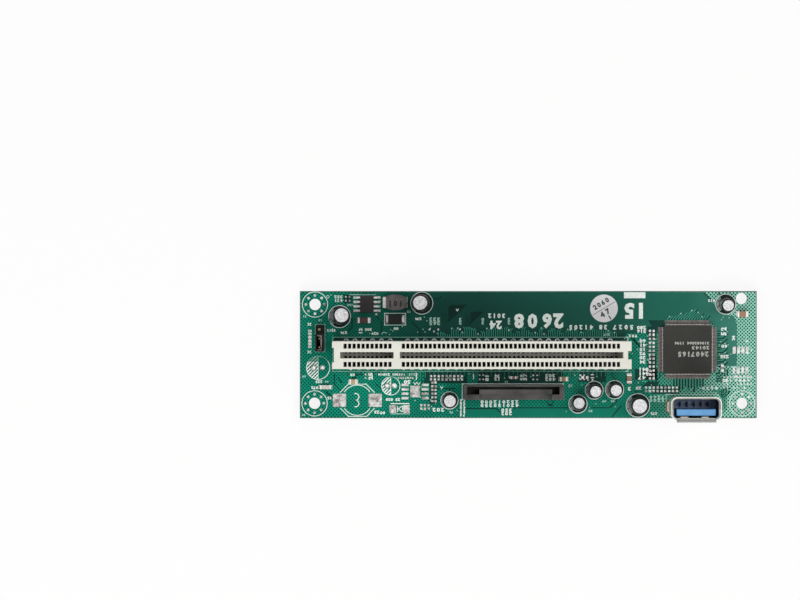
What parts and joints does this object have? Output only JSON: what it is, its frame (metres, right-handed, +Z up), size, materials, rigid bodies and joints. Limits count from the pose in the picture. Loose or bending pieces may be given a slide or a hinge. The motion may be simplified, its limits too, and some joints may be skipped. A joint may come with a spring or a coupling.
{
  "type": "pcie riser card",
  "caption": "Green riser board with a tall card edge slot, vertical USB port, power inlet, square bridge chip and small power supply parts.",
  "frame": {"origin": "on the table under the middle of the board, at the lead tips", "axes": "+X along the board from the jumper end to the chip end, +Y towards the long edge away from the USB port, +Z up out of the card slot"},
  "size_m": [0.1318, 0.0374, 0.0185],
  "materials": {
    "green_board": "solder mask over glass epoxy",
    "ivory_plastic": "moulded",
    "gold_contact": "plated strip",
    "solder": "tinned",
    "black_epoxy": "moulded epoxy",
    "tinned_lead": "tinned copper",
    "ferrite": "pressed ferrite",
    "copper_wire": "enamelled wire",
    "plated_steel": "nickel plated sheet",
    "blue_plastic": "moulded",
    "black_plastic": "moulded",
    "can_aluminium": "drawn can",
    "black_sleeve": "shrunk sleeve",
    "bung_rubber": "moulded rubber",
    "chip_ceramic": "fired ceramic",
    "white_print": "screen print",
    "sticker_paper": "paper label"
  },
  "bodies": {
    "root": {"circuit_board": "green_board", "pci_slot_housing": "ivory_plastic", "slot_contacts_upper": "gold_contact", "slot_contacts_lower": "gold_contact", "slot_solder_joints": "solder", "lead_solder_joints": "solder", "bridge_chip_body": "black_epoxy", "bridge_chip_leads": "tinned_lead", "regulator_body": "black_epoxy", "regulator_leads": "tinned_lead", "power_inductor_core": "ferrite", "power_inductor_winding": "copper_wire", "power_inductor_terminals": "tinned_lead", "diode_body": "black_epoxy", "diode_terminals": "tinned_lead", "usb_shell": "plated_steel", "usb_insulator": "blue_plastic", "usb_long_contacts": "gold_contact", "usb_short_contacts": "gold_contact", "sata_power_housing": "black_plastic", "sata_power_contacts": "gold_contact", "header_base": "black_plastic", "header_pins": "gold_contact", "jumper_cap": "black_plastic", "jumper_clip": "tinned_lead", "capacitor_can_1": "can_aluminium", "capacitor_sleeve_1": "black_sleeve", "capacitor_can_2": "can_aluminium", "capacitor_sleeve_2": "black_sleeve", "capacitor_can_3": "can_aluminium", "capacitor_sleeve_3": "black_sleeve", "capacitor_can_4": "can_aluminium", "capacitor_sleeve_4": "black_sleeve", "capacitor_can_5": "can_aluminium", "capacitor_sleeve_5": "black_sleeve", "capacitor_can_6": "can_aluminium", "capacitor_sleeve_6": "black_sleeve", "capacitor_can_7": "can_aluminium", "capacitor_sleeve_7": "black_sleeve", "capacitor_can_8": "can_aluminium", "capacitor_sleeve_8": "black_sleeve", "capacitor_bungs": "bung_rubber", "capacitor_leads": "tinned_lead", "chip_bodies": "chip_ceramic", "chip_ends": "tinned_lead", "solder_pads": "solder", "silkscreen": "white_print", "inspection_sticker": "sticker_paper"}
  },
  "joints": []
}
